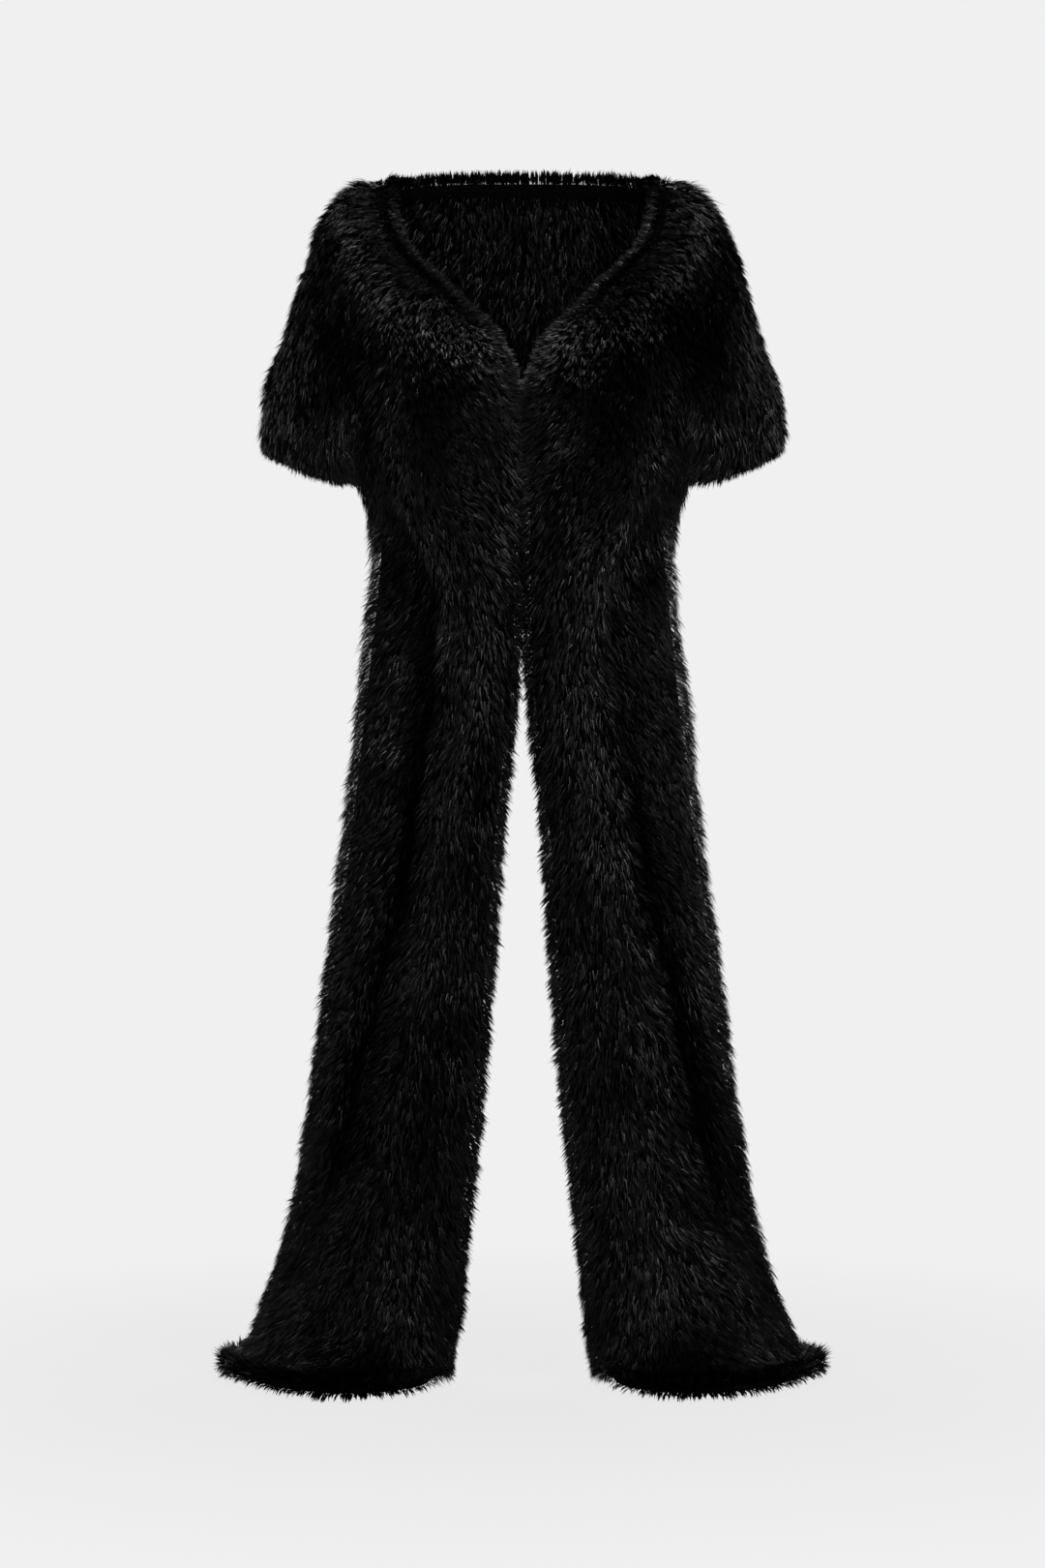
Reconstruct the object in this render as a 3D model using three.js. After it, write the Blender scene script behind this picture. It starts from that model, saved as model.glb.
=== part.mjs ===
// A long faux fur shawl, worn with no wearer: round the back, over both shoulders and
// upper arms, and down in two pleated falls whose ends spread forward on the floor.
// Millimetres, +Z up, the front faces -Y. The origin lies between the wearer's shoulders.
import * as THREE from 'three';

const SHOULDER_HEIGHT = 1345;   // origin above the floor that the hems lie on
const PILE_REACH = 11;          // how far the fur stands from the backing, on each face
const EDGE_STEPS = 4;           // facets round the turned edge of the strip
const ACROSS_STEPS = 16;        // facets across the strip, on each face
const SEAM_GAP = 0.3;           // between neighbouring stretches
const LEFT_FOLD_OUT = 6;        // the left fall's folded panel is this much wider
const END_ROUNDING = [1, 4, 9]; // insets of the extra rings that round over the strip's ends
const NUDGE = 1;                // step for finding the strip's direction
const FUR = { colour: 0x111112, roughness: 0.85 };

// The strip's middle surface on one side, a row for each section across it, from the middle
// of the back to the end on the floor. Each place is [out from the middle, forward, up from
// the floor]. edge is the neck edge, which becomes the centre front edge, and tail is the
// lower edge, which becomes the hidden outer edge of the fall. The fall folds forward at
// fold, back under at tuck, out again along layer and round behind at bend.
const SECTIONS = [
  { at: 'back middle', edge: [0, -92, 1383], panel: [0, -103, 1333], fold: [0, -110, 1283],
    tuck: [0, -115, 1232], layer: [0, -118, 1182], bend: [0, -119, 1132],
    back: [0, -119, 1082], tail: [0, -118, 1029] },
  { at: 'back side', edge: [92, -88, 1381], panel: [99, -100, 1332], fold: [103, -108, 1282],
    tuck: [105, -113, 1232], layer: [107, -115, 1182], bend: [108, -116, 1132],
    back: [109, -116, 1082], tail: [110, -114, 1031] },
  { at: 'shoulder blade', edge: [142, -62, 1371], panel: [166, -74, 1343],
    fold: [186, -83, 1301], tuck: [199, -88, 1256], layer: [208, -91, 1208],
    bend: [215, -92, 1159], back: [220, -92, 1109], tail: [223, -88, 1054] },
  { at: 'shoulder', edge: [160, -18, 1362], panel: [196, -9, 1351], fold: [222, -1, 1317],
    tuck: [238, 3, 1272], layer: [252, 5, 1225], bend: [266, 6, 1178], back: [284, 6, 1126],
    tail: [288, 5, 1070] },
  { at: 'upper arm', edge: [146, 30, 1296], panel: [179, 46, 1287], fold: [205, 56, 1260],
    tuck: [222, 61, 1222], layer: [236, 63, 1183], bend: [248, 63, 1141],
    back: [259, 61, 1099], tail: [262, 55, 1053] },
  { at: 'chest', edge: [84, 92, 1222], panel: [120, 114, 1204], fold: [151, 122, 1171],
    tuck: [175, 114, 1138], layer: [194, 111, 1109], bend: [208, 106, 1080],
    back: [216, 98, 1055], tail: [218, 87, 1030] },
  { at: 'closing', edge: [34, 130, 1152], panel: [82, 156, 1116], fold: [134, 150, 1052],
    tuck: [150, 114, 1032], layer: [166, 92, 1014], bend: [170, 64, 1002],
    back: [154, 42, 998], tail: [126, 40, 1002] },
  { at: 'waist', edge: [15, 141, 1062], panel: [60, 168, 1030], fold: [113, 160, 970],
    tuck: [106, 122, 966], layer: [130, 98, 958], bend: [158, 78, 950],
    back: [148, 48, 954], tail: [104, 46, 962] },
  { at: 'hip', edge: [15, 143, 925], panel: [47, 172, 912], fold: [84, 162, 895],
    tuck: [76, 122, 898], layer: [112, 106, 893], bend: [158, 96, 890],
    back: [150, 62, 892], tail: [82, 60, 898] },
  { at: 'thigh', edge: [15, 143, 800], panel: [45, 172, 800], fold: [82, 161, 800],
    tuck: [72, 122, 800], layer: [110, 108, 800], bend: [166, 100, 800],
    back: [160, 64, 800], tail: [88, 60, 800] },
  { at: 'above knee', edge: [29, 142, 650], panel: [60, 168, 650], fold: [99, 157, 650],
    tuck: [100, 124, 650], layer: [140, 114, 650], bend: [184, 102, 650],
    back: [176, 62, 650], tail: [104, 58, 650] },
  { at: 'knee', edge: [41, 136, 480], panel: [78, 158, 480], fold: [115, 150, 480],
    tuck: [146, 128, 480], layer: [178, 140, 480], bend: [206, 118, 480],
    back: [194, 76, 480], tail: [120, 74, 480] },
  { at: 'shin', edge: [57, 126, 300], panel: [98, 147, 300], fold: [144, 145, 300],
    tuck: [186, 122, 300], layer: [214, 130, 300], bend: [232, 104, 300],
    back: [218, 62, 300], tail: [150, 58, 300] },
  { at: 'ankle', edge: [73, 112, 150], panel: [112, 138, 150], fold: [166, 141, 150],
    tuck: [212, 121, 150], layer: [243, 112, 150], bend: [261, 82, 150],
    back: [250, 40, 150], tail: [188, 30, 150] },
  { at: 'turn', edge: [82, 104, 60], panel: [117, 142, 60], fold: [170, 154, 60],
    tuck: [224, 140, 60], layer: [264, 109, 60], bend: [289, 66, 60],
    back: [286, 20, 60], tail: [228, 4, 60] },
  { at: 'lip', edge: [92, 108, 18], panel: [118, 156, 15], fold: [168, 186, 14],
    tuck: [221, 182, 14], layer: [267, 143, 14], bend: [304, 86, 14],
    back: [314, 28, 14], tail: [264, -8, 14] },
  { at: 'end', edge: [98, 128, 11], panel: [114, 184, 11], fold: [162, 226, 11],
    tuck: [217, 226, 11], layer: [276, 184, 11], bend: [321, 112, 11],
    back: [345, 38, 11], tail: [318, -16, 11] },
];
const RAILS = ['edge', 'panel', 'fold', 'tuck', 'layer', 'bend', 'back', 'tail'];

// The stretches that show, with the sections they lie between and their number of rings.
const STRETCHES = [
  { name: 'shoulder', from: 'shoulder blade', to: 'waist', rings: 15 },
  { name: 'fall', from: 'waist', to: 'ankle', rings: 26 },
  { name: 'hem', from: 'ankle', to: 'end', rings: 9 },
];
const BACK_RINGS = 8;

// Slope at the middle of three places, for a smooth curve through unevenly spaced ones.
function slope(before, place, after, stepIn, stepOut) {
  return place.map((value, axis) => {
    const arriving = (value - before[axis]) / stepIn;
    const leaving = (after[axis] - value) / stepOut;
    return (arriving * stepOut + leaving * stepIn) / (stepIn + stepOut);
  });
}

// Smooth curve through places at rising distances: Hermite cubics between neighbours.
function curveThrough(places, distances) {
  const last = places.length - 1;
  const slopes = places.map((place, i) => {
    const before = Math.max(i - 1, 0);
    const after = Math.min(i + 1, last);
    const stepIn = distances[i] - distances[before] || distances[after] - distances[i];
    const stepOut = distances[after] - distances[i] || stepIn;
    return slope(
      i > 0 ? places[before] : place.map((value, k) => 2 * value - places[after][k]),
      place,
      i < last ? places[after] : place.map((value, k) => 2 * value - places[before][k]),
      stepIn, stepOut);
  });
  return (distance) => {
    let i = distances.findLastIndex((value) => value <= distance);
    i = Math.min(Math.max(i, 0), last - 1);
    const step = distances[i + 1] - distances[i];
    const t = (distance - distances[i]) / step;
    return places[i].map((value, k) => {
      const other = places[i + 1][k];
      const rise = (2 * t - 3) * t * t;
      return value * (1 + rise) - other * rise
        + slopes[i][k] * step * t * (t - 1) ** 2
        + slopes[i + 1][k] * step * t * t * (t - 1);
    });
  };
}

// Both sides' sections in one list, wearer's right first, as x, y, z in the part's frame.
function mirroredSections() {
  const firstFall = SECTIONS.findIndex((row) => row.at === 'hip');
  const lastFall = SECTIONS.findIndex((row) => row.at === 'knee');
  const side = (row, sign) => RAILS.map((rail) => {
    const [out, forward, up] = row[rail];
    const number = SECTIONS.indexOf(row);
    const folded = number >= firstFall && number <= lastFall && ['fold', 'tuck'].includes(rail);
    const extra = folded && sign > 0 ? LEFT_FOLD_OUT : 0;
    return [sign * (out + extra), -forward, up - SHOULDER_HEIGHT];
  });
  const right = SECTIONS.slice(1).reverse().map((row) => side(row, -1));
  return [...right, ...SECTIONS.map((row) => side(row, 1))];
}

// Mean distance between each section and the one before it, added up along the strip.
function distancesAlong(sections) {
  const distances = [0];
  for (let i = 1; i < sections.length; i += 1) {
    const steps = sections[i].map((place, k) => Math.hypot(
      place[0] - sections[i - 1][k][0],
      place[1] - sections[i - 1][k][1],
      place[2] - sections[i - 1][k][2]));
    distances.push(distances[i - 1] + steps.reduce((a, b) => a + b) / steps.length);
  }
  return distances;
}

const sections = mirroredSections();
const middle = SECTIONS.length - 1;
const alongSections = distancesAlong(sections);
const wholeLength = alongSections.at(-1);
const rails = RAILS.map((_, k) => curveThrough(sections.map((row) => row[k]), alongSections));
const railNumbers = RAILS.map((_, k) => k);

// Distance along the strip of a named section, on the wearer's left (+1) or right (-1).
function alongAt(name, sign) {
  return alongSections[middle + sign * SECTIONS.findIndex((row) => row.at === name)];
}

// The strip's middle surface at a distance along it, as a function of the share across it.
function sectionAt(along) {
  const across = curveThrough(rails.map((rail) => rail(along)), railNumbers);
  return (share) => new THREE.Vector3(...across(share * (RAILS.length - 1)));
}

// One closed ring round the strip, a pile's reach from the middle surface: from the middle
// of the turned neck edge out along one face, round the tail's edge and back along the other.
function ringAt(along, reach) {
  const here = sectionAt(along);
  const ahead = sectionAt(Math.min(along + NUDGE, wholeLength));
  const behind = sectionAt(Math.max(along - NUDGE, 0));
  const faces = [];
  for (let i = 0; i <= ACROSS_STEPS; i += 1) {
    const share = i / ACROSS_STEPS;
    const place = here(share);
    const lengthwise = ahead(share).sub(behind(share));
    const inner = Math.max(share - 0.01, 0);
    const outer = Math.min(share + 0.01, 1);
    const crosswise = here(outer).sub(here(inner)).normalize();
    const normal = lengthwise.cross(crosswise).normalize();
    faces.push({ place, crosswise, normal });
  }
  const turned = ({ place, crosswise, normal }, angle, sign) => place.clone()
    .addScaledVector(normal, reach * Math.cos(angle))
    .addScaledVector(crosswise, sign * reach * Math.sin(angle));
  const ring = [];
  for (let i = EDGE_STEPS / 2; i > 0; i -= 1) {
    ring.push(turned(faces[0], (Math.PI * i) / EDGE_STEPS, -1));
  }
  ring.push(...faces.map((face) => turned(face, 0, 1)));
  for (let i = 1; i < EDGE_STEPS; i += 1) {
    ring.push(turned(faces[ACROSS_STEPS], (Math.PI * i) / EDGE_STEPS, 1));
  }
  ring.push(...faces.map((face) => turned(face, Math.PI, 1)).reverse());
  for (let i = EDGE_STEPS - 1; i > EDGE_STEPS / 2; i -= 1) {
    ring.push(turned(faces[0], (Math.PI * i) / EDGE_STEPS, -1));
  }
  for (const place of ring) {
    place.z = Math.max(place.z, -SHOULDER_HEIGHT);
  }
  return ring;
}

// A closed solid through rings of equal length, with a flat strip of facets over each end.
function solidThrough(rings) {
  const count = rings[0].length;
  const positions = rings.flat().flatMap((place) => [place.x, place.y, place.z]);
  const faces = [];
  for (let r = 0; r + 1 < rings.length; r += 1) {
    for (let i = 0; i < count; i += 1) {
      const a = r * count + i;
      const b = r * count + ((i + 1) % count);
      faces.push(a, a + count, b, b, a + count, b + count);
    }
  }
  const endFacets = (first, flip) => {
    const add = (a, b, c) => faces.push(first + a, first + (flip ? c : b), first + (flip ? b : c));
    add(0, 1, count - 1);
    for (let i = 1; i + 1 < count / 2; i += 1) {
      add(i, i + 1, count - i);
      add(i + 1, count - i - 1, count - i);
    }
    add(count / 2 - 1, count / 2, count / 2 + 1);
  };
  endFacets(0, false);
  endFacets((rings.length - 1) * count, true);
  const geometry = new THREE.BufferGeometry();
  geometry.setAttribute('position', new THREE.Float32BufferAttribute(positions, 3));
  geometry.setIndex(faces);
  geometry.computeVertexNormals();
  return geometry;
}

// The pile's reach, which rounds over to nothing at the strip's two ends.
function reachAt(along) {
  const fromEnd = Math.min(along, wholeLength - along, PILE_REACH);
  return Math.sqrt(PILE_REACH ** 2 - (PILE_REACH - fromEnd) ** 2);
}

// The wall of one stretch, between two distances along the strip.
function stretchSolid(start, end, ringCount) {
  const extra = END_ROUNDING.flatMap((inset) => [inset, wholeLength - inset]);
  const stops = [start, end, ...extra.filter((stop) => stop > start && stop < end)];
  for (let i = 1; i < ringCount; i += 1) {
    stops.push(start + ((end - start) * i) / ringCount);
  }
  stops.sort((a, b) => a - b);
  return solidThrough(stops.map((along) => ringAt(along, reachAt(along))));
}

function furMesh(name, geometry) {
  const material = new THREE.MeshStandardMaterial({
    color: FUR.colour, roughness: FUR.roughness, metalness: 0,
  });
  const mesh = new THREE.Mesh(geometry, material);
  mesh.name = name;
  return mesh;
}

const shawl = new THREE.Group();
const blade = 'shoulder blade';
shawl.add(furMesh('back', stretchSolid(
  alongAt(blade, -1) + SEAM_GAP / 2, alongAt(blade, 1) - SEAM_GAP / 2, BACK_RINGS)));
for (const stretch of STRETCHES) {
  for (const [side, sign] of [['right', -1], ['left', 1]]) {
    const near = alongAt(stretch.from, sign) + (sign * SEAM_GAP) / 2;
    const far = alongAt(stretch.to, sign) - (sign * SEAM_GAP) / 2;
    const [start, end] = sign > 0 ? [near, far] : [far, near];
    shawl.add(furMesh(`${stretch.name}_${side}`, stretchSolid(start, end, stretch.rings)));
  }
}

export default shawl;
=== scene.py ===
import math

import bpy
import numpy as np
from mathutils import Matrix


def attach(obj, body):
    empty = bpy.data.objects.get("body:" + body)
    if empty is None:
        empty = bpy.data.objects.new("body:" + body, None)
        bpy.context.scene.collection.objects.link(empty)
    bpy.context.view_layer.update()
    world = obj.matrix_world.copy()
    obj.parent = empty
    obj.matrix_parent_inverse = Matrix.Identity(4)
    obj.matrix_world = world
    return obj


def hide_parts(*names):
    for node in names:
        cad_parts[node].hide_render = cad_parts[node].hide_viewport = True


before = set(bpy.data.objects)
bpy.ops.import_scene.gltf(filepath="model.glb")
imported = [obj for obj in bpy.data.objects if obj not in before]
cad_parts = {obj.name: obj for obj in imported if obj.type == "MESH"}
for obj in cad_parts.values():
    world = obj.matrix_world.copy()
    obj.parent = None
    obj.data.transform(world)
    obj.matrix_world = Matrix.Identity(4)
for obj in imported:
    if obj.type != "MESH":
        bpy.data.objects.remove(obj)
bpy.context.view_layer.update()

# ---------------------------------------------------------------------------------------
# The backing. Two knitted polyester grounds are sewn back to back into one long stole. It
# is worn round the back, over both shoulders and down in two pleated falls whose ends turn
# forward on the floor. Each stretch is a 4 mm shell that shows only between the tufts.
# ---------------------------------------------------------------------------------------
MM = 0.001
SHOULDER_HEIGHT = 1345.0     # mm from the floor up to the origin
FLOOR = -SHOULDER_HEIGHT * MM
STRIP_WIDTH = 0.35           # m, flat, without the pile
LEFT_FOLD_OUT = 6.0          # mm, the left fall's folded panel is this much wider

# A row for each section across the strip on one side, from the middle of the back to the
# end on the floor, in mm: [out from the middle, forward, up from the floor] for the neck
# edge, front panel, fold, tuck behind it, outer layer, bend, back layer and tail edge.
SECTIONS = {
    "back middle": [[0, -92, 1383], [0, -103, 1333], [0, -110, 1283], [0, -115, 1232],
                    [0, -118, 1182], [0, -119, 1132], [0, -119, 1082], [0, -118, 1029]],
    "back side": [[92, -88, 1381], [99, -100, 1332], [103, -108, 1282], [105, -113, 1232],
                  [107, -115, 1182], [108, -116, 1132], [109, -116, 1082], [110, -114, 1031]],
    "shoulder blade": [[142, -62, 1371], [166, -74, 1343], [186, -83, 1301],
                       [199, -88, 1256], [208, -91, 1208], [215, -92, 1159],
                       [220, -92, 1109], [223, -88, 1054]],
    "shoulder": [[160, -18, 1362], [196, -9, 1351], [222, -1, 1317], [238, 3, 1272],
                 [252, 5, 1225], [266, 6, 1178], [284, 6, 1126], [288, 5, 1070]],
    "upper arm": [[146, 30, 1296], [179, 46, 1287], [205, 56, 1260], [222, 61, 1222],
                  [236, 63, 1183], [248, 63, 1141], [259, 61, 1099], [262, 55, 1053]],
    "chest": [[84, 92, 1222], [120, 114, 1204], [151, 122, 1171], [175, 114, 1138],
              [194, 111, 1109], [208, 106, 1080], [216, 98, 1055], [218, 87, 1030]],
    "closing": [[28, 130, 1152], [82, 156, 1116], [134, 150, 1052], [150, 114, 1032],
                [166, 92, 1014], [170, 64, 1002], [154, 42, 998], [126, 40, 1002]],
    "waist": [[10, 141, 1062], [60, 168, 1030], [113, 160, 970], [106, 122, 966],
              [130, 98, 958], [158, 78, 950], [148, 48, 954], [104, 46, 962]],
    "hip": [[10, 143, 925], [47, 172, 912], [84, 162, 895], [76, 122, 898],
            [112, 106, 893], [158, 96, 890], [150, 62, 892], [82, 60, 898]],
    "thigh": [[13, 143, 800], [45, 172, 800], [82, 161, 800], [72, 122, 800],
              [110, 108, 800], [166, 100, 800], [160, 64, 800], [88, 60, 800]],
    "above knee": [[29, 142, 650], [60, 168, 650], [99, 157, 650], [100, 124, 650],
                   [140, 114, 650], [184, 102, 650], [176, 62, 650], [104, 58, 650]],
    "knee": [[41, 136, 480], [78, 158, 480], [115, 150, 480], [146, 128, 480],
             [178, 140, 480], [206, 118, 480], [194, 76, 480], [120, 74, 480]],
    "shin": [[57, 126, 300], [98, 147, 300], [144, 145, 300], [186, 122, 300],
             [214, 130, 300], [232, 104, 300], [218, 62, 300], [150, 58, 300]],
    "ankle": [[73, 112, 150], [112, 138, 150], [166, 141, 150], [212, 121, 150],
              [243, 112, 150], [261, 82, 150], [250, 40, 150], [188, 30, 150]],
    "turn": [[82, 104, 60], [117, 142, 60], [170, 154, 60], [224, 140, 60],
             [264, 109, 60], [289, 66, 60], [286, 20, 60], [228, 4, 60]],
    "lip": [[92, 108, 18], [118, 156, 15], [168, 186, 14], [221, 182, 14],
            [267, 143, 14], [304, 86, 14], [314, 28, 14], [264, -8, 14]],
    "end": [[98, 128, 11], [114, 184, 11], [162, 226, 11], [217, 226, 11],
            [276, 184, 11], [321, 112, 11], [345, 38, 11], [318, -16, 11]],
}
SECTION_NAMES = list(SECTIONS)
MIDDLE = len(SECTION_NAMES) - 1


def both_sides():
    """The sections from the wearer's right end to the left end, as x, y, z in metres. The
    left side's fold and tuck lie further out from the hip to the knee."""
    left = np.array(list(SECTIONS.values()), dtype=float)
    right = left * [-1, 1, 1]
    first, last = SECTION_NAMES.index("hip"), SECTION_NAMES.index("knee")
    left[first:last + 1, 2:4, 0] += LEFT_FOLD_OUT
    places = np.concatenate([right[:0:-1], left])
    places[..., 1] *= -1
    places[..., 2] -= SHOULDER_HEIGHT
    return places * MM


PLACES = both_sides()
HOPS = np.linalg.norm(np.diff(PLACES, axis=0), axis=2).mean(axis=1)
ALONG = np.concatenate([[0.0], np.cumsum(HOPS)])
BACK_MIDDLE = ALONG[MIDDLE]
LENGTH = ALONG[-1]


def along_at(name, side):
    """Distance along the strip, in metres, of a named section on the wearer's left (+1) or
    right (-1)."""
    return ALONG[MIDDLE + side * SECTION_NAMES.index(name)]


def curve_through(places, knots, at):
    """Smooth curve through places at rising knots: Hermite cubics whose slope at a knot is
    the mean of the slopes on its two sides, each weighted by the other side's length."""
    shape = (-1,) + (1,) * (places.ndim - 1)
    steps = np.diff(knots).reshape(shape)
    rates = np.diff(places, axis=0) / steps
    inner = (rates[:-1] * steps[1:] + rates[1:] * steps[:-1]) / (steps[1:] + steps[:-1])
    slopes = np.concatenate([rates[:1], inner, rates[-1:]])
    i = np.clip(np.searchsorted(knots, at, side="right") - 1, 0, len(knots) - 2)
    step = (knots[i + 1] - knots[i]).reshape(shape)
    t = (at - knots[i]).reshape(shape) / step
    rise = (3 - 2 * t) * t * t
    bend = slopes[i] * t * (t - 1) ** 2 + slopes[i + 1] * t * t * (t - 1)
    return places[i] * (1 - rise) + places[i + 1] * rise + bend * step


def plain_strip(along, share):
    """Place on the strip before its creases, at a distance along it and a share across it:
    the eight rails at that distance, then one smooth curve across them, whose slope at a
    rail is half the step between the rails on its two sides."""
    rails = curve_through(PLACES, ALONG, along)
    last = rails.shape[1] - 1
    place = np.clip(share, 0, 1) * last
    i = np.clip(place.astype(int), 0, last - 1)
    t = (place - i)[:, None]
    rows = np.arange(len(along))
    here, there = rails[rows, i], rails[rows, i + 1]
    before = np.where((i > 0)[:, None], rails[rows, np.maximum(i - 1, 0)], 2 * here - there)
    after = np.where((i + 2 <= last)[:, None], rails[rows, np.minimum(i + 2, last)],
                     2 * there - here)
    rise = (3 - 2 * t) * t * t
    bend = (there - before) * t * (t - 1) ** 2 + (after - here) * t * t * (t - 1)
    return here * (1 - rise) + there * rise + bend / 2


# Soft creases, a row each: the side, the sections it runs between, its shares across the strip at
# both ends, its half width as a share, and its depth in mm, which is under zero for a trough and
# over zero for a ridge.
CREASES = [
    (-1, "thigh", "ankle", 0.10, 0.22, 0.035, -5.0),
    (1, "above knee", "shin", 0.13, 0.20, 0.035, -4.5),
    (-1, "upper arm", "closing", 0.50, 0.46, 0.060, -7.0),
    (1, "upper arm", "closing", 0.55, 0.47, 0.055, -6.0),
    (-1, "chest", "waist", 0.30, 0.34, 0.070, 5.0),
    (1, "chest", "waist", 0.27, 0.35, 0.080, 5.0),
    (1, "chest", "hip", 0.12, 0.20, 0.040, -3.5),
    (-1, "shoulder", "closing", 0.22, 0.18, 0.060, -3.0),
    (-1, "knee", "turn", 0.66, 0.70, 0.045, -5.0),
    (1, "shin", "turn", 0.62, 0.67, 0.050, -5.0),
    (-1, "ankle", "end", 0.30, 0.26, 0.050, -4.0),
    (1, "ankle", "end", 0.44, 0.50, 0.050, -4.0),
    (-1, "thigh", "shin", 0.90, 0.86, 0.050, -5.0),
    (1, "thigh", "shin", 0.88, 0.91, 0.050, -5.0),
    (-1, "back middle", "shoulder blade", 0.34, 0.20, 0.070, -5.0),
    (1, "back middle", "shoulder blade", 0.40, 0.22, 0.075, -6.0),
    (1, "back middle", "shoulder", 0.66, 0.52, 0.080, 5.0),
    (-1, "back middle", "shoulder", 0.74, 0.60, 0.070, 4.0),
]


def along_and_bell(along, share, row):
    """For a row's line on the strip: how far along it a place lies, from 0 to 1, and a bell
    across it, which is the exponential of minus the squared distance in half widths."""
    side, start, end, share_a, share_b, half_width = row
    a, b = along_at(start, side), along_at(end, side)
    t = np.clip((along - a) / (b - a), 0, 1)
    line = share_a + (share_b - share_a) * t
    return t, np.exp(-((share - line) / half_width) ** 2)


def crease_lift(along, share):
    """How far the creases lift the surface, in metres: each is a bell across its line and
    swells and dies away as the square of a half sine along it."""
    lift = np.zeros_like(along)
    for *row, depth in CREASES:
        t, bell = along_and_bell(along, share, row)
        lift += depth * MM * bell * np.sin(np.pi * t) ** 2
    return lift


LENGTH_STEP = MM             # m to each side, for the strip's lengthwise direction
SHARE_STEP = 0.005           # to each side, for its crosswise direction
CREASE_STEP = 0.01           # to each side, for the slope of its creases


def unit(vectors):
    """The vectors, one a row, each divided by its length."""
    return vectors / np.linalg.norm(vectors, axis=1)[:, None]


def strip_frame(along, share):
    """Place, outward normal, crosswise and lengthwise directions on the creased strip. The
    normal is the plain strip's lengthwise step times its crosswise step, tilted back by the
    slope of the creases, and the place is moved along it by their lift."""
    low, high = np.clip(share - SHARE_STEP, 0, 1), np.clip(share + SHARE_STEP, 0, 1)
    across = unit(plain_strip(along, high) - plain_strip(along, low))
    ahead = plain_strip(np.minimum(along + LENGTH_STEP, LENGTH), share)
    behind = plain_strip(np.maximum(along - LENGTH_STEP, 0), share)
    normal = unit(np.cross(ahead - behind, across))
    place = plain_strip(along, share) + normal * crease_lift(along, share)[:, None]
    rise = crease_lift(along, share + CREASE_STEP) - crease_lift(along, share - CREASE_STEP)
    slope = rise / (2 * CREASE_STEP * STRIP_WIDTH)
    tilted = unit(normal - across * slope[:, None])
    return place, tilted, across, np.cross(across, tilted)


def linear(colour):
    """An sRGB hex colour as linear red, green, blue and alpha."""
    parts = [int(colour[i:i + 2], 16) / 255 for i in (1, 3, 5)]
    return [c / 12.92 if c <= 0.04045 else ((c + 0.055) / 1.055) ** 2.4 for c in parts] + [1.0]


def add_node(material, kind, settings=None, links=()):
    """Adds a shader node, sets its sockets or properties, and links (socket, node, output)."""
    node = material.node_tree.nodes.new(kind)
    for name, value in (settings or {}).items():
        if name in node.inputs:
            node.inputs[name].default_value = value
        else:
            setattr(node, name, value)
    for socket, source, output in links:
        material.node_tree.links.new(source.outputs[output], node.inputs[socket])
    return node


def knitted_polyester():
    """Warp-knitted polyester ground, dyed black. It is matt and drinks the light, with faint
    cloudy patches about 17 mm wide. A wave's ribs lie 2 pi / (20 x scale) apart, which is
    1.6 mm here, a few stitches to a rib, because single stitches are too fine to show."""
    material = bpy.data.materials.new("knitted polyester backing")
    material.use_nodes = True
    shader = material.node_tree.nodes["Principled BSDF"]
    shader.inputs["Roughness"].default_value = 0.9
    shader.inputs["Specular IOR Level"].default_value = 0.15
    place = add_node(material, "ShaderNodeTexCoord")
    patches = add_node(material, "ShaderNodeTexNoise", {"Scale": 60.0, "Detail": 3.0},
                       [("Vector", place, "Object")])
    dye = add_node(material, "ShaderNodeValToRGB", {}, [("Fac", patches, "Fac")])
    dye.color_ramp.elements[0].color = linear("#010101")
    dye.color_ramp.elements[1].color = linear("#030303")
    ribs = add_node(material, "ShaderNodeTexWave", {"Scale": 200.0, "Distortion": 2.0},
                    [("Vector", place, "Object")])
    bump = add_node(material, "ShaderNodeBump", {"Strength": 0.4, "Distance": 0.0005},
                    [("Height", ribs, "Fac")])
    material.node_tree.links.new(dye.outputs["Color"], shader.inputs["Base Color"])
    material.node_tree.links.new(bump.outputs["Normal"], shader.inputs["Normal"])
    return material


def add_mesh(name, points, faces, material, smooth):
    """A mesh object from points, and faces that all have the same number of corners."""
    mesh = bpy.data.meshes.new(name)
    mesh.vertices.add(len(points))
    mesh.vertices.foreach_set("co", np.ascontiguousarray(points, dtype=np.float32).ravel())
    count, corners = faces.shape
    mesh.loops.add(count * corners)
    mesh.loops.foreach_set("vertex_index", np.ascontiguousarray(faces, dtype=np.int32).ravel())
    mesh.polygons.add(count)
    mesh.polygons.foreach_set("loop_start", np.arange(count, dtype=np.int32) * corners)
    mesh.update(calc_edges=True)
    mesh.validate()
    mesh.polygons.foreach_set("use_smooth", np.full(len(mesh.polygons), smooth))
    mesh.materials.append(material)
    piece = bpy.data.objects.new(name, mesh)
    bpy.context.scene.collection.objects.link(piece)
    return piece


BACKING_HALF = 0.002         # m, half the thickness of both grounds together
BACKING_ACROSS = 40          # places across the strip
END_SETBACK = 0.008          # m, the backing stops this far inside the strip's ends
STRETCHES = [
    # node, wearer's side, first and last sections, rings along it
    ("back", 0, "shoulder blade", "shoulder blade", 30),
    ("shoulder_right", -1, "shoulder blade", "waist", 44),
    ("shoulder_left", 1, "shoulder blade", "waist", 44),
    ("fall_right", -1, "waist", "ankle", 60),
    ("fall_left", 1, "waist", "ankle", 60),
    ("hem_right", -1, "ankle", "end", 20),
    ("hem_left", 1, "ankle", "end", 20),
]


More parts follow.
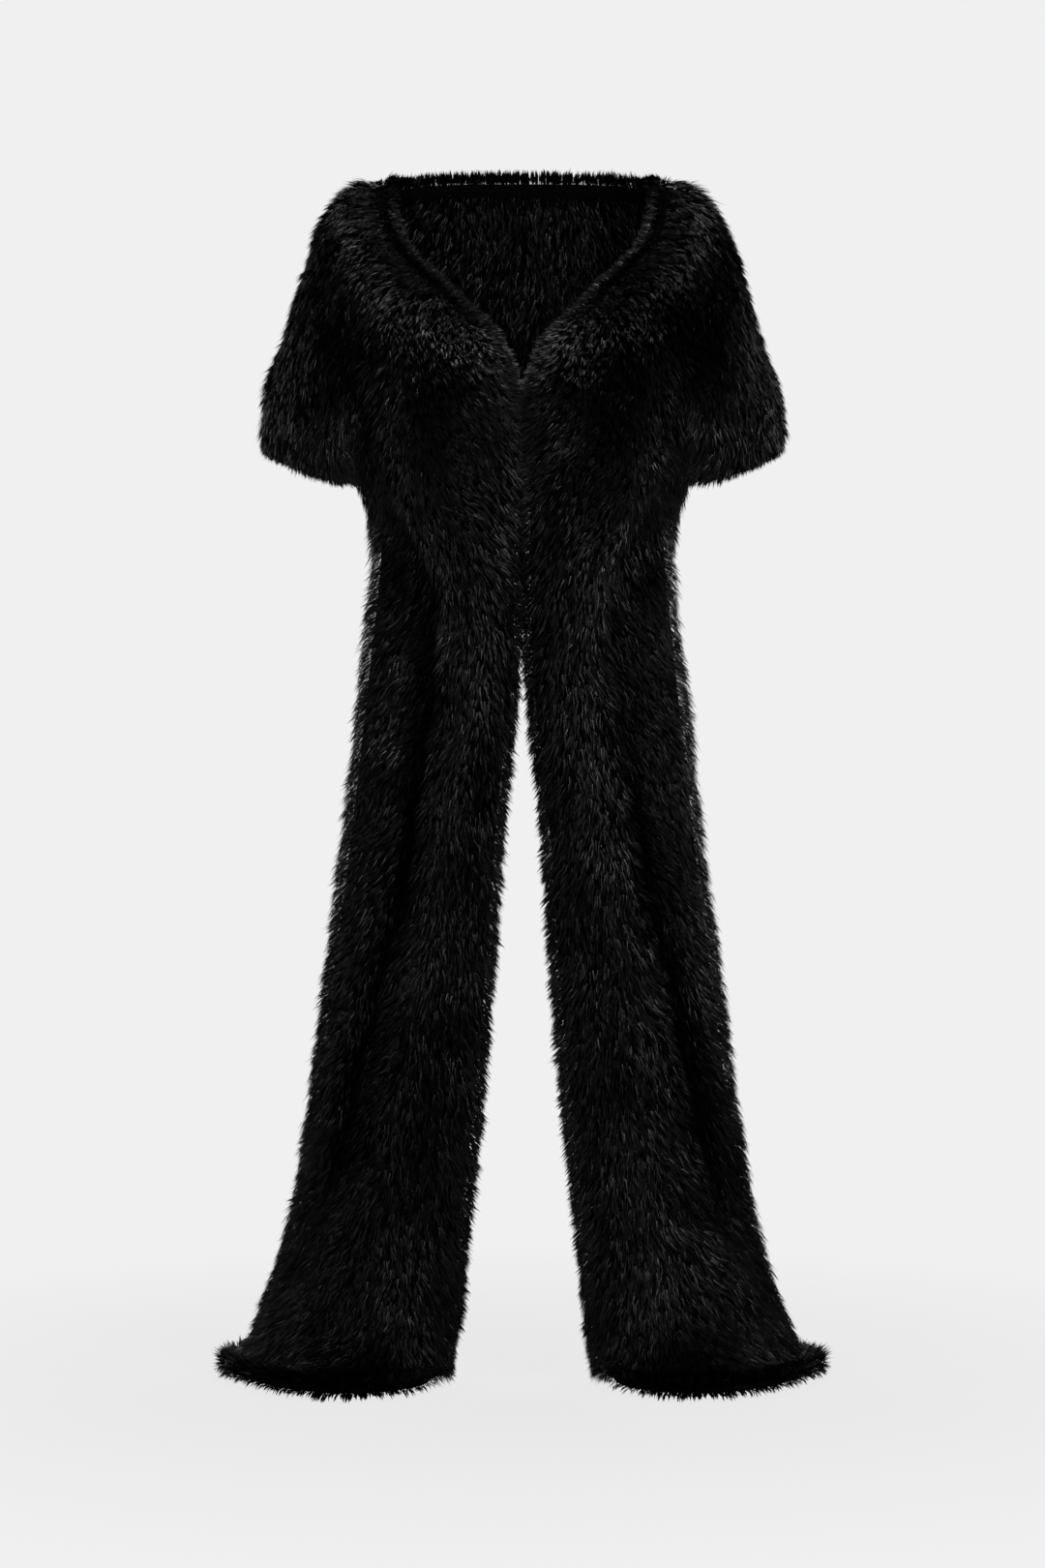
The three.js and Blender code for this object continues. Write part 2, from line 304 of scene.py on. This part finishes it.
def stretch_ends(side, start, end):
    """A stretch's low and high distances along the strip. The back, on side 0, runs from
    its section on the wearer's right to the same one on the left."""
    ends = [along_at(start, side or -1), along_at(end, side or 1)]
    return max(min(ends), END_SETBACK), min(max(ends), LENGTH - END_SETBACK)


def backing_shell(name, low, high, rings, material):
    """The shell of one stretch: for each ring, places half a thickness out from the middle
    surface along the outer face, then back along the inner face, joined ring to ring, with
    a strip of quads closing each end. It lies at least 1 mm above the floor."""
    along = np.linspace(low, high, rings)
    share = np.linspace(0, 1, BACKING_ACROSS)
    grid_along, grid_share = [g.ravel() for g in np.meshgrid(along, share, indexing="ij")]
    place, normal, _, _ = strip_frame(grid_along, grid_share)
    outer = (place + normal * BACKING_HALF).reshape(rings, BACKING_ACROSS, 3)
    inner = (place - normal * BACKING_HALF).reshape(rings, BACKING_ACROSS, 3)
    loop = np.concatenate([outer, inner[:, ::-1]], axis=1)
    loop[..., 2] = np.maximum(loop[..., 2], FLOOR + MM)
    count = loop.shape[1]
    ring, i = [g.ravel() for g in np.meshgrid(np.arange(rings - 1), np.arange(count),
                                              indexing="ij")]
    here, ahead = ring * count, (ring + 1) * count
    j = (i + 1) % count
    walls = np.stack([here + i, ahead + i, ahead + j, here + j], axis=1)
    i = np.arange(BACKING_ACROSS - 1)
    first = np.stack([i, i + 1, count - 2 - i, count - 1 - i], axis=1)
    last = first[:, ::-1] + (rings - 1) * count
    faces = np.concatenate([walls, first, last])
    return add_mesh(name, loop.reshape(-1, 3), faces, material, True)


knitted = knitted_polyester()
backings = {}
for node, side, start, end, rings in STRETCHES:
    low, high = stretch_ends(side, start, end)
    backings[node] = backing_shell(f"{node}_backing", low, high, rings, knitted)
    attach(backings[node], "root")
    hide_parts(node)


# ---------------------------------------------------------------------------------------
# The pile. Modacrylic fibre about 26 mm long, sheared uneven and steamed down so that it
# lies at about a third of a right angle and gathers into small tufts. It is knitted into
# both grounds and stands round the edges. A blade is a lock of fibres about 1 mm wide.
# ---------------------------------------------------------------------------------------
PILE_LENGTH = 0.026
PILE_LIFT = 31               # degrees off the backing
BLADE_WIDTH = 0.0011
TUFT = 0.0048                # m between neighbouring tufts
ROOT_SINK = 0.006            # m, roots on the rim start this far inside it, to close it
EDGE_SHARE = 0.06            # roots this far past a long edge, as a share, crowd onto its rim
RIM_SHARE = 0.045            # from here on past the edge they point straight out of the rim
EDGE_ROOTS = 0.012           # m, both of these for the strip's two ends
BEND_RISE, BEND_RUN = 0.62, 0.46     # a blade's bend, as shares of its length
TIP_RISE, TIP_RUN = 0.84, 0.98       # its tip, the same way
BEND_GATHER, TIP_GATHER = 0.25, 0.60  # how far each is drawn to the tuft's middle
BLADES = {
    # node: blades on the outer face, blades on the inner face
    "back": (36000, 22000),
    "shoulder_right": (74000, 14000),
    "shoulder_left": (74000, 14000),
    "fall_right": (74000, 18000),
    "fall_left": (74000, 18000),
    "hem_right": (22000, 5000),
    "hem_left": (22000, 5000),
}


def ease(value, low, high):
    """0 below low, 1 above high, and the smooth step 3t^2 - 2t^3 between."""
    t = np.clip((value - low) / (high - low), 0, 1)
    return t * t * (3 - 2 * t)


def soft_noise(x, y, size, seed):
    """Smooth random values from -1 to 1: random numbers on a square grid of the given size,
    eased between the four nearest."""
    table = np.random.default_rng(seed).uniform(-1, 1, (512, 128))
    x, y = x / size, y / size
    i, j = np.floor(x).astype(int), np.floor(y).astype(int)
    s, t = ease(x - i, 0, 1), ease(y - j, 0, 1)
    rows, columns = (i % 512, (i + 1) % 512), (j % 128, (j + 1) % 128)
    near = table[rows[0], columns[0]] * (1 - s) + table[rows[1], columns[0]] * s
    far = table[rows[0], columns[1]] * (1 - s) + table[rows[1], columns[1]] * s
    return near * (1 - t) + far * t


def lie_of_pile(from_back, share):
    """The way the pile lies, as a share lengthwise (away from the back) and a share across
    towards the tail edge. On the falls it parts along a line near the neck edge and fans
    out to both edges. Round the back and shoulders it lies down towards the tail edge, and
    over the neck edge it turns up. From the upper arm to the hip one passes to the other."""
    parting, fan_width = 0.15, 0.25
    fan = np.where(share < parting, (share - parting) / parting * 0.50,
                   ease(share, parting, parting + fan_width) * 0.58)
    worn = 1 - ease(from_back, along_at("upper arm", 1) - BACK_MIDDLE,
                    along_at("hip", 1) - BACK_MIDDLE)
    down = -0.55 + 1.45 * ease(share, 0.0, 0.045)
    drift = 0.30 * np.tanh(from_back / 0.15)
    lengthwise = np.cos(fan) * (1 - worn) + drift * worn
    across = np.sin(fan) * (1 - worn) + down * worn
    return lengthwise, across


def cell_area(along, share):
    """A measure of the cloth's area for each metre along and each share across, from the
    cross product of a short step along and a short step across."""
    low = np.clip(share - 0.02, 0, 0.96)
    corner = plain_strip(along, low)
    across = plain_strip(along, low + 0.04) - corner
    ahead = plain_strip(np.minimum(along + 0.004, LENGTH), low) - corner
    return np.linalg.norm(np.cross(across, ahead), axis=1)


# How much of the pile's shine is taken from place to place, a row each: the side, first and last
# sections, shares across at both, half width as a share, and how much of the shine it takes. The
# rows are painted shade, most in the depths of the pleats and on stretches turned from the light.
# Below zero a row is a painted highlight that adds shine along the fold edges and the edges by
# the neck.
PAINTED_SHADE_AND_HIGHLIGHT = [
    (-1, "closing", "ankle", 0.46, 0.47, 0.080, 0.97),
    (1, "closing", "ankle", 0.46, 0.47, 0.075, 0.95),
    (-1, "thigh", "ankle", 0.10, 0.21, 0.035, 0.60),
    (1, "above knee", "shin", 0.13, 0.20, 0.035, 0.60),
    (-1, "shoulder", "closing", 0.50, 0.44, 0.090, 0.70),
    (1, "shoulder", "closing", 0.48, 0.40, 0.110, 0.70),
    (-1, "shoulder", "upper arm", 0.30, 0.34, 0.160, 0.60),
    (1, "shoulder", "chest", 0.30, 0.30, 0.140, 0.70),
    (-1, "knee", "turn", 0.66, 0.70, 0.045, 0.60),
    (1, "shin", "turn", 0.62, 0.67, 0.050, 0.60),
    (1, "upper arm", "hip", 0.20, 0.18, 0.090, 0.60),
    (-1, "knee", "end", 0.25, 0.30, 0.250, 0.45),
    (1, "knee", "end", 0.50, 0.50, 0.300, 0.30),
    (-1, "waist", "ankle", 0.75, 0.75, 0.120, 0.30),
    (-1, "shoulder", "waist", 0.02, 0.05, 0.050, -1.10),
    (1, "shoulder", "closing", 0.01, 0.03, 0.035, -0.90),
    (-1, "chest", "thigh", 0.27, 0.27, 0.035, -0.90),
    (1, "chest", "thigh", 0.27, 0.27, 0.035, -0.80),
]
INNER_FACE_PAINTED_SHADE = 0.6       # painted shade: the inner face keeps this share of the shine
ROOT_PAINTED_SHADE = 0.1             # painted shade: a blade's root, deep in the pile, keeps this share of the shine


def painted_shine_share(along, share):
    """The share of its shine that the pile keeps under the painted shade and highlight rows: one,
    less each row's bell, which holds along most of its line and fades over a sixth of it at both
    ends."""
    gloss_with_painted_light = np.ones_like(along)
    for *row, taken in PAINTED_SHADE_AND_HIGHLIGHT:
        t, bell = along_and_bell(along, share, row)
        gloss_with_painted_light *= 1 - taken * bell * ease(t, 0, 0.16) * (1 - ease(t, 0.84, 1))
    return gloss_with_painted_light


def scatter_roots(rng, low, high, counts):
    """Distances along, shares across and faces (+1 outer, -1 inner) of one stretch's roots,
    spread evenly over the cloth: even draws, each kept with a chance that grows with the
    cloth's area there. The draws run a little past the edges and the strip's ends."""
    total = sum(counts)
    draws = int(total * 2.2)
    first = low - EDGE_ROOTS * (low == END_SETBACK)
    last = high + EDGE_ROOTS * (high == LENGTH - END_SETBACK)
    along = rng.uniform(first, last, draws)
    share = rng.uniform(-EDGE_SHARE, 1 + EDGE_SHARE, draws)
    face = np.where(rng.uniform(size=draws) < counts[0] / total, 1.0, -1.0)
    area = cell_area(np.clip(along, low, high), np.clip(share, 0, 1))
    kept = np.flatnonzero(rng.uniform(size=draws) < area / np.quantile(area, 0.97) * 0.9)
    kept = kept[:total]
    return along[kept], share[kept], face[kept]


def pile(name, low, high, counts, seed, material):
    """Blades over one stretch. Each leans the way the pile lies there, and its bend and tip
    are drawn towards the middle of its tuft. On the rims it points outward. A blade is a
    kite of two triangles from its root by both sides of its bend to its tip."""
    rng = np.random.default_rng(seed)
    drawn_along, drawn_share, face = scatter_roots(rng, low, high, counts)
    count = len(face)
    along, share = np.clip(drawn_along, low, high), np.clip(drawn_share, 0, 1)
    past_edge, past_end = drawn_share - share, np.abs(drawn_along - along)
    place, normal, across, lengthwise = strip_frame(along, share)
    from_back = np.abs(along - BACK_MIDDLE)
    away = np.where(along < BACK_MIDDLE, -1.0, 1.0)
    lengthwise = lengthwise * away[:, None]

    # Tufts: every blade in a square of cloth has that square's five random values, which
    # are its middle's two shifts, its sway, its lift and its length.
    width = share * STRIP_WIDTH
    row, column = np.floor(along / TUFT).astype(int), np.floor(width / TUFT).astype(int)
    table = np.random.default_rng(seed + 1).uniform(-1, 1, (1024, 64, 5))
    shift_along, shift_width, tuft_sway, tuft_lift, tuft_length = table[row % 1024, column % 64].T
    to_middle = (row + 0.5 + 0.4 * shift_along) * TUFT - along
    to_middle_across = (column + 0.5 + 0.4 * shift_width) * TUFT - width
    patches = soft_noise(along, width, 0.045, 7)
    swirls = soft_noise(along, width, 0.028, 11)

    # Directions. The tufts calm down by half near the long edges.
    edge = 1 - ease(np.minimum(share, 1 - share), 0.0, 0.05)
    calm = 1 - 0.5 * edge
    ahead, aside = lie_of_pile(from_back, share)
    sway = (0.32 * swirls + 0.30 * tuft_sway) * calm + rng.normal(0, 0.10, count)
    ahead, aside = (ahead * np.cos(sway) - aside * np.sin(sway),
                    aside * np.cos(sway) + ahead * np.sin(sway))
    lie = lengthwise * ahead[:, None] + across * aside[:, None]
    turn = np.clip(np.abs(past_edge) / RIM_SHARE, 0, 1) * np.pi / 2
    end_turn = np.clip(past_end / EDGE_ROOTS, 0, 1) * np.pi / 2
    face_out, rim_out = normal * face[:, None], across * np.sign(past_edge)[:, None]
    up = face_out * np.cos(turn)[:, None] + rim_out * np.sin(turn)[:, None]
    up = unit(up * np.cos(end_turn)[:, None] + lengthwise * np.sin(end_turn)[:, None])
    lie = lie * np.cos(end_turn)[:, None] - normal * np.sin(end_turn)[:, None]
    on_rim = np.maximum(np.sin(turn), np.sin(end_turn))

    # Lift and length. On the lip the outer face's pile fluffs up, and the inner face's is
    # pressed short under it. Pile is shorter at the edges and the strip's ends.
    end_from_back = LENGTH - BACK_MIDDLE
    lip = ease(from_back, end_from_back - 0.09, end_from_back - 0.02)
    lift = PILE_LIFT + 9 * patches + 8 * tuft_lift * calm + rng.normal(0, 4, count)
    lift = np.radians(lift + (24 * lip + 22 * on_rim * (1 - np.sin(end_turn))))
    length = PILE_LENGTH * (1 + 0.12 * tuft_length * calm + rng.normal(0, 0.09, count))
    length *= 1 - 0.75 * lip * (face < 0)
    length *= (1 - 0.22 * edge) * (1 - 0.34 * np.sin(end_turn))

    # Blades. None reaches nearer to the floor than 0.4 mm.
    rise, run = np.sin(lift)[:, None], np.cos(lift)[:, None]
    gather = to_middle[:, None] * lengthwise * away[:, None]
    gather = (gather + to_middle_across[:, None] * across) * calm[:, None]
    root = place + up * (BACKING_HALF - ROOT_SINK * on_rim)[:, None]
    bend = root + (up * rise * BEND_RISE + lie * run * BEND_RUN) * length[:, None]
    bend = bend + gather * BEND_GATHER
    tip = root + (up * rise * TIP_RISE + lie * run * TIP_RUN) * length[:, None]
    tip = tip + gather * TIP_GATHER
    side = unit(np.cross(up, lie + lengthwise * 0.001))
    twist = rng.normal(0, 0.45, count)
    side = side * np.cos(twist)[:, None] + up * np.sin(twist)[:, None]
    half = BLADE_WIDTH / 2 * rng.uniform(0.7, 1.25, count)[:, None]
    half = half * (1 + 0.9 * on_rim)[:, None]
    points = np.stack([root, bend + side * half, tip, bend - side * half], axis=1)
    points[..., 2] = np.maximum(points[..., 2], FLOOR + 0.4 * MM)
    kite = np.array([[[0, 1, 3], [3, 1, 2]]])
    faces = (np.arange(count)[:, None, None] * 4 + kite).reshape(-1, 3)
    fur = add_mesh(name, points.reshape(-1, 3), faces, material, False)

    # Painted light: the rows' painted shade and highlight, the inner face's painted shade and the
    # roots' painted shade set how much shine each blade gives back; the patches and tufts add
    # random differences on top.
    gloss_with_painted_light = painted_shine_share(along, share) * (1 + 0.35 * patches + 0.25 * tuft_lift)
    gloss_with_painted_light *= np.where(face < 0, INNER_FACE_PAINTED_SHADE, 1.0)
    gloss_with_painted_light = np.repeat(np.clip(gloss_with_painted_light, 0.02, 2.2), 4)
    gloss_with_painted_light[0::4] *= ROOT_PAINTED_SHADE
    attribute = fur.data.attributes.new("gloss_with_painted_light", "FLOAT", "POINT")
    attribute.data.foreach_set("value", gloss_with_painted_light.astype(np.float32))
    return fur


def black_modacrylic():
    """Modacrylic pile, spun black: smooth round fibres, so each lock carries a fine pale glint
    along it, over a nearly black body. The dye and the roughness vary in patches about 7 mm wide,
    a tuft or two. The mesh's shine attribute scales the glint: it holds painted shade in the
    pleats, on the inner face and at the roots, and painted highlight along the folds and edges,
    with random tuft differences on top."""
    material = bpy.data.materials.new("black modacrylic pile")
    material.use_nodes = True
    shader = material.node_tree.nodes["Principled BSDF"]
    place = add_node(material, "ShaderNodeTexCoord")
    patches = add_node(material, "ShaderNodeTexNoise", {"Scale": 150.0, "Detail": 2.0},
                       [("Vector", place, "Object")])
    dye = add_node(material, "ShaderNodeValToRGB", {}, [("Fac", patches, "Fac")])
    dye.color_ramp.elements[0].color = linear("#010101")
    dye.color_ramp.elements[1].color = linear("#060607")
    roughness = add_node(material, "ShaderNodeMapRange",
                         {"From Min": 0.3, "From Max": 0.7, "To Min": 0.30, "To Max": 0.42},
                         [("Value", patches, "Fac")])
    # The shine attribute carries painted shade and highlight into the specular level here.
    gloss_with_painted_light = add_node(material, "ShaderNodeAttribute", {"attribute_name": "gloss_with_painted_light"})
    glint = add_node(material, "ShaderNodeMath", {"operation": "MULTIPLY"},
                     [(0, gloss_with_painted_light, "Fac")])
    glint.inputs[1].default_value = 0.42
    links = material.node_tree.links
    links.new(dye.outputs["Color"], shader.inputs["Base Color"])
    links.new(roughness.outputs["Result"], shader.inputs["Roughness"])
    links.new(glint.outputs["Value"], shader.inputs["Specular IOR Level"])
    return material


FIRST_SEED = 100
modacrylic = black_modacrylic()
for number, (node, side, start, end, _) in enumerate(STRETCHES):
    low, high = stretch_ends(side, start, end)
    fur = pile(f"{node}_pile", low, high, BLADES[node], FIRST_SEED + number, modacrylic)
    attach(fur, "root")


# ---------------------------------------------------------------------------------------
# The studio. A plain pale floor and backdrop, even dim light from all round, and five
# softboxes: a key and a fill in front, one behind each side and one above.
# ---------------------------------------------------------------------------------------
BACKGROUND = "#f0f0f0"
FLOOR_HALF = 30.0            # m


def matt_white_paint():
    """Matt white paint. To the camera its colour is plain, but for a tenth near the shawl
    that is lit and carries the soft shadow. That dies away within 1.1 m round the shawl's
    foot: the distances are from the origin, 1.345 m up."""
    material = bpy.data.materials.new("matt white studio floor")
    material.use_nodes = True
    links = material.node_tree.links
    nodes = material.node_tree.nodes
    shader = nodes["Principled BSDF"]
    shader.inputs["Base Color"].default_value = linear("#fafafa")
    shader.inputs["Roughness"].default_value = 0.9
    shader.inputs["Specular IOR Level"].default_value = 0.0
    plain = add_node(material, "ShaderNodeEmission", {"Color": linear(BACKGROUND)})
    rays = add_node(material, "ShaderNodeLightPath")
    place = add_node(material, "ShaderNodeTexCoord")
    distance = add_node(material, "ShaderNodeVectorMath", {"operation": "LENGTH"},
                        [("Vector", place, "Object")])
    far = add_node(material, "ShaderNodeMapRange",
                   {"From Min": 1.35, "From Max": 1.75, "To Min": 0.90, "To Max": 1.0,
                    "interpolation_type": "SMOOTHSTEP"}, [("Value", distance, "Value")])
    share = add_node(material, "ShaderNodeMath", {"operation": "MULTIPLY"},
                     [(0, rays, "Is Camera Ray"), (1, far, "Result")])
    mixed = add_node(material, "ShaderNodeMixShader", {}, [("Fac", share, "Value")])
    links.new(shader.outputs["BSDF"], mixed.inputs[1])
    links.new(plain.outputs["Emission"], mixed.inputs[2])
    links.new(mixed.outputs["Shader"], nodes["Material Output"].inputs["Surface"])
    return material


def studio_world():
    """Even dim light from all round, and the pale background for the camera."""
    world = bpy.data.worlds.new("studio")
    world.use_nodes = True
    links, nodes = world.node_tree.links, world.node_tree.nodes
    light = nodes["Background"]
    light.inputs["Color"].default_value = (1, 1, 1, 1)
    light.inputs["Strength"].default_value = 0.05
    seen = add_node(world, "ShaderNodeBackground", {"Color": linear(BACKGROUND)})
    rays = add_node(world, "ShaderNodeLightPath")
    mixed = add_node(world, "ShaderNodeMixShader", {}, [("Fac", rays, "Is Camera Ray")])
    links.new(light.outputs["Background"], mixed.inputs[1])
    links.new(seen.outputs["Background"], mixed.inputs[2])
    links.new(mixed.outputs["Shader"], nodes["World Output"].inputs["Surface"])
    return world


def softbox(name, place, target, size, watts):
    """A square area lamp that faces its target: tilted up from straight down by the angle
    between, then turned round to its bearing."""
    lamp = bpy.data.lights.new(name, "AREA")
    lamp.shape = "SQUARE"
    lamp.size = size
    lamp.energy = watts
    holder = bpy.data.objects.new(name, lamp)
    aim = np.array(target, dtype=float) - np.array(place, dtype=float)
    flat = math.hypot(aim[0], aim[1])
    holder.location = place
    holder.rotation_euler = (math.atan2(flat, -aim[2]), 0, math.atan2(-aim[0], aim[1]))
    bpy.context.scene.collection.objects.link(holder)


corners = np.array([[-1, -1, 0], [1, -1, 0], [1, 1, 0], [-1, 1, 0]]) * FLOOR_HALF
corners[:, 2] = FLOOR - 0.5 * MM
floor = add_mesh("studio_floor", corners, np.array([[0, 1, 2, 3]]), matt_white_paint(), False)
bpy.context.scene.world = studio_world()
softbox("key_softbox", (1.9, -3.0, 1.3), (0, 0, -0.6), 1.0, 30)
softbox("fill_softbox", (-1.9, -2.8, 0.8), (0, 0, -0.7), 1.0, 11)
softbox("left_rim_softbox", (-2.2, 2.2, 0.9), (0, 0, -0.5), 1.2, 10)
softbox("right_rim_softbox", (2.2, 2.2, 0.9), (0, 0, -0.5), 1.2, 10)
softbox("top_softbox", (0, 0.5, 2.2), (0, -0.1, -0.3), 1.0, 15)

SENSOR = 36.0                # mm, along the frame's long side
CAMERA_DISTANCE = 4.0        # m
CAMERA_HEIGHT = 0.6744       # m above the floor
FRAME_HEIGHT = 1.811         # m of height in view at the shawl
camera = bpy.data.cameras.new("camera")
camera.sensor_width = SENSOR
camera.lens = SENSOR * CAMERA_DISTANCE / FRAME_HEIGHT
viewer = bpy.data.objects.new("camera", camera)
viewer.location = (0, -CAMERA_DISTANCE, FLOOR + CAMERA_HEIGHT)
viewer.rotation_euler = (math.pi / 2, 0, 0)
bpy.context.scene.collection.objects.link(viewer)
bpy.context.scene.camera = viewer
bpy.context.scene.view_settings.view_transform = "Standard"
